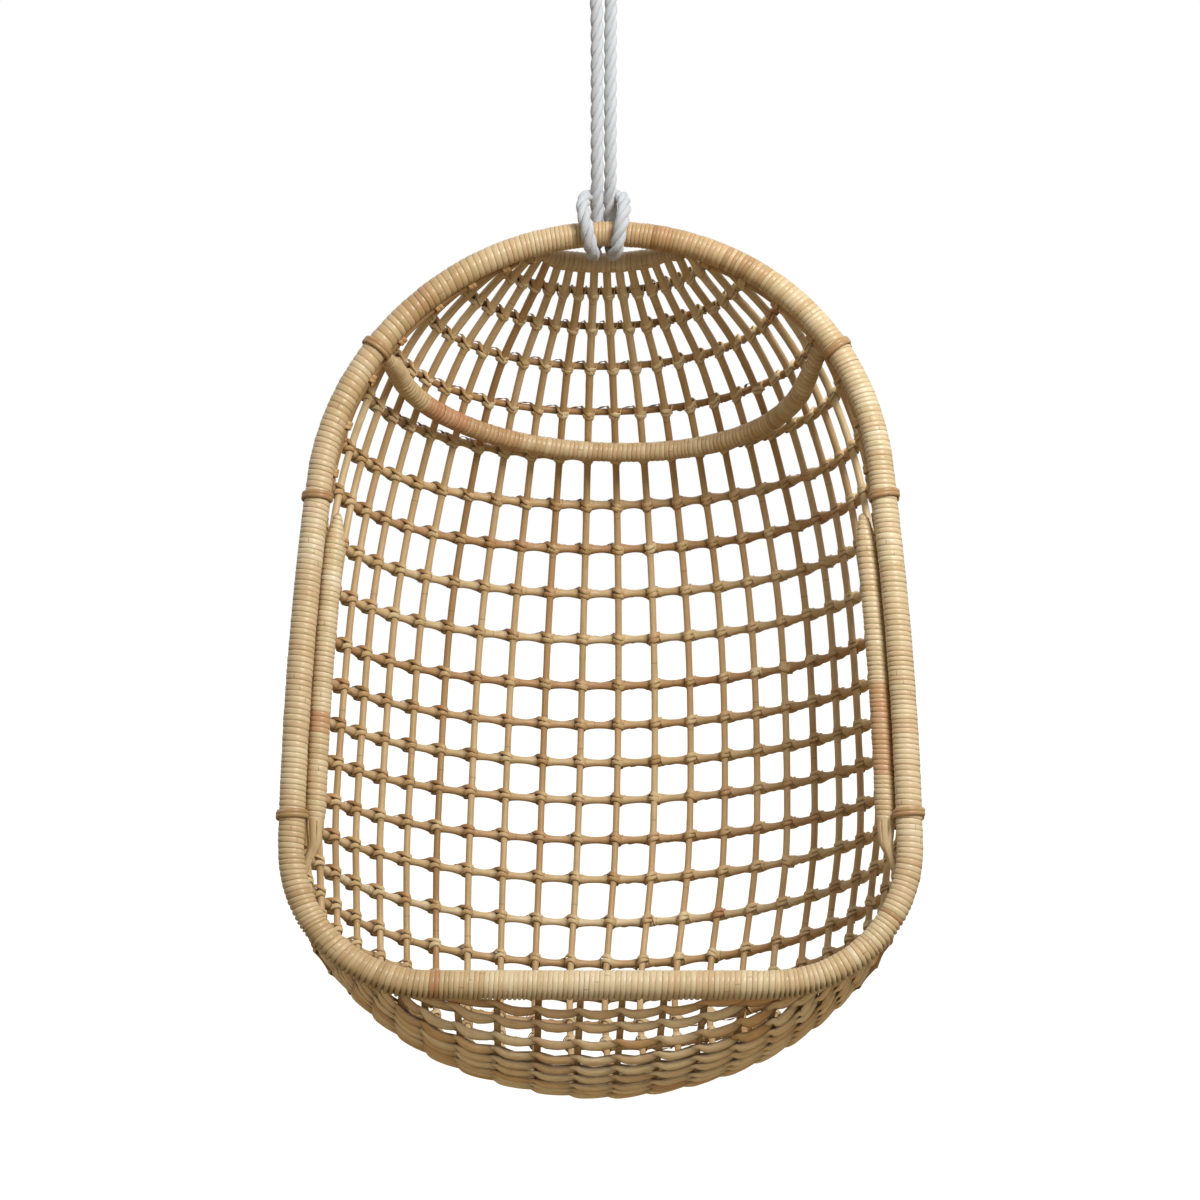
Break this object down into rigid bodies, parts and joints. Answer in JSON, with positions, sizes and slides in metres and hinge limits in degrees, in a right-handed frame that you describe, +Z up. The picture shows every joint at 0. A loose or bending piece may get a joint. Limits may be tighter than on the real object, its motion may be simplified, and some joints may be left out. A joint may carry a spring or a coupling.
{
  "type": "hanging egg chair",
  "caption": "Ceiling-hung garden chair: a reclined egg-shaped open cane basket in a cane-wrapped rim, on a doubled rope from a swivel hook.",
  "frame": {"origin": "centre of the ceiling plate's top face, over the rope", "axes": "+Z up, -Y the way the sitter faces, +X across, to the right seen from the front"},
  "size_m": [0.7622, 0.5272, 1.5203],
  "materials": {
    "zinc_steel": "zinc-plated steel, satin, a little dull",
    "cotton_rope": "three-strand laid cotton rope, grey-white, matt",
    "whipping_twine": "tight turns of grey-white twine",
    "cane_wrapped_rim": "flat straw-coloured cane wound round a pole, satin varnish",
    "cane_wrapped_pole": "flat cane wound round a pole, straw to olive brown, satin varnish",
    "binding_cane": "darker flat cane in tight raised turns",
    "round_cane": "split round cane, tan to olive brown, satin varnish",
    "twined_cane": "pairs of flat cane strands twined close over the uprights"
  },
  "bodies": {
    "ceiling": {"ceiling_plate": "zinc_steel"},
    "swivel": {"swivel_fork": "zinc_steel", "hook_pin": "zinc_steel"},
    "hook": {"hook": "zinc_steel"},
    "rope": {"rope": "cotton_rope", "rope_whipping": "whipping_twine"},
    "basket": {"front_rim": "cane_wrapped_rim", "top_bar": "cane_wrapped_pole", "back_hoop": "cane_wrapped_pole", "side_pole_left": "cane_wrapped_pole", "side_pole_right": "cane_wrapped_pole", "ring_binding_left_1": "binding_cane", "ring_binding_left_2": "binding_cane", "ring_binding_left_3": "binding_cane", "ring_binding_right_1": "binding_cane", "ring_binding_right_2": "binding_cane", "ring_binding_right_3": "binding_cane", "warp_left_01": "round_cane", "warp_left_02": "round_cane", "warp_left_03": "round_cane", "warp_left_04": "round_cane", "warp_left_05": "round_cane", "warp_left_06": "round_cane", "warp_left_07": "round_cane", "warp_left_08": "round_cane", "warp_left_09": "round_cane", "warp_left_10": "round_cane", "warp_left_11": "round_cane", "warp_left_12": "round_cane", "warp_right_01": "round_cane", "warp_right_02": "round_cane", "warp_right_03": "round_cane", "warp_right_04": "round_cane", "warp_right_05": "round_cane", "warp_right_06": "round_cane", "warp_right_07": "round_cane", "warp_right_08": "round_cane", "warp_right_09": "round_cane", "warp_right_10": "round_cane", "warp_right_11": "round_cane", "warp_right_12": "round_cane", "weft_01": "round_cane", "weft_02": "round_cane", "weft_03": "round_cane", "weft_04": "round_cane", "weft_05": "round_cane", "weft_06": "round_cane", "weft_07": "round_cane", "weft_08": "round_cane", "weft_09": "round_cane", "weft_10": "round_cane", "weft_11": "round_cane", "weft_12": "round_cane", "weft_13": "round_cane", "weft_14": "round_cane", "weft_15": "round_cane", "weft_16": "round_cane", "weft_17": "round_cane", "weft_18": "round_cane", "seat_weave": "twined_cane"}
  },
  "joints": [
    {"name": "swivel_spin", "type": "hinge", "parent": "ceiling", "child": "swivel", "pos_m": [0, 0, 0], "axis": [0, 0, 1], "continuous": true},
    {"name": "fore_aft_swing", "type": "hinge", "parent": "swivel", "child": "hook", "pos_m": [0, 0, -0.0493], "axis": [1, 0, 0], "range_deg": [-20, 20]},
    {"name": "sideways_swing", "type": "hinge", "parent": "hook", "child": "rope", "pos_m": [0, 0, -0.1066], "axis": [0, 1, 0], "range_deg": [-15, 15]},
    {"name": "basket_tilt", "type": "hinge", "parent": "rope", "child": "basket", "pos_m": [0, 0, -0.4666], "axis": [1, 0, 0], "range_deg": [-10, 10]}
  ]
}
